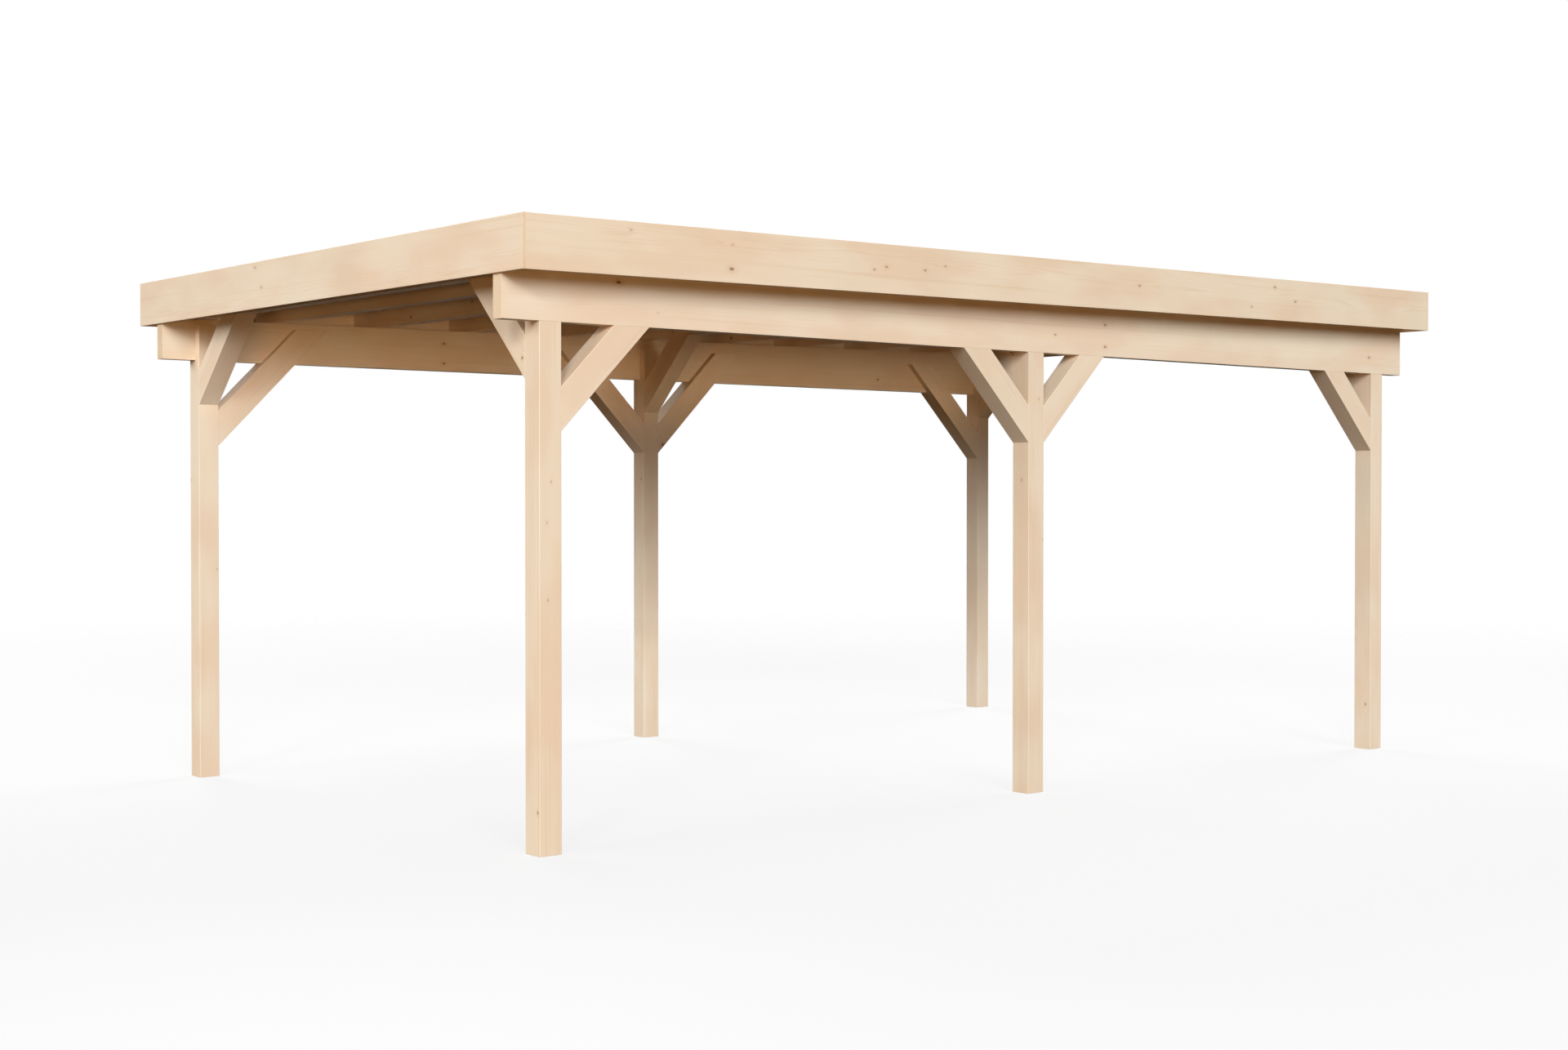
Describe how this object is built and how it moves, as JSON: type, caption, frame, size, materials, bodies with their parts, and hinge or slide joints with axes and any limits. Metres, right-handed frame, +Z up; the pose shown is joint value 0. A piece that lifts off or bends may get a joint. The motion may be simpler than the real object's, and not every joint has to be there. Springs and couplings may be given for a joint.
{
  "type": "timber carport",
  "caption": "Open timber carport with square posts, tapered beams, diagonal braces, rafters and a flat boarded roof inside deep fascia boards.",
  "frame": {"origin": "on the ground under the middle of the roof", "axes": "+Z up, +X along the carport towards the high end of the roof, +Y across it towards the back row of posts"},
  "size_m": [5.814, 3.416, 2.478],
  "materials": {
    "post_timber": "matte",
    "beam_timber": "matte",
    "brace_timber": "matte",
    "rafter_timber": "matte",
    "fascia_board": "matte",
    "roof_board": "matte",
    "roof_felt": "matte"
  },
  "bodies": {
    "root": {"post_front_left": "post_timber", "post_front_middle": "post_timber", "post_front_right": "post_timber", "post_back_left": "post_timber", "post_back_middle": "post_timber", "post_back_right": "post_timber", "beam_front": "beam_timber", "beam_back": "beam_timber", "brace_front_left": "brace_timber", "brace_front_middle_left": "brace_timber", "brace_front_middle_right": "brace_timber", "brace_front_right": "brace_timber", "brace_back_left": "brace_timber", "brace_back_middle_left": "brace_timber", "brace_back_middle_right": "brace_timber", "brace_back_right": "brace_timber", "cross_brace_front_left": "brace_timber", "cross_brace_front_middle": "brace_timber", "cross_brace_front_right": "brace_timber", "cross_brace_back_left": "brace_timber", "cross_brace_back_middle": "brace_timber", "cross_brace_back_right": "brace_timber", "rafter_1": "rafter_timber", "rafter_2": "rafter_timber", "rafter_3": "rafter_timber", "rafter_4": "rafter_timber", "rafter_5": "rafter_timber", "rafter_6": "rafter_timber", "rafter_7": "rafter_timber", "rafter_8": "rafter_timber", "rafter_9": "rafter_timber", "rafter_10": "rafter_timber", "rafter_11": "rafter_timber", "post_rafter_left": "rafter_timber", "post_rafter_right": "rafter_timber", "fascia_front": "fascia_board", "fascia_back": "fascia_board", "fascia_left": "fascia_board", "fascia_right": "fascia_board", "roof_boards": "roof_board", "roof_felt": "roof_felt"}
  },
  "joints": []
}
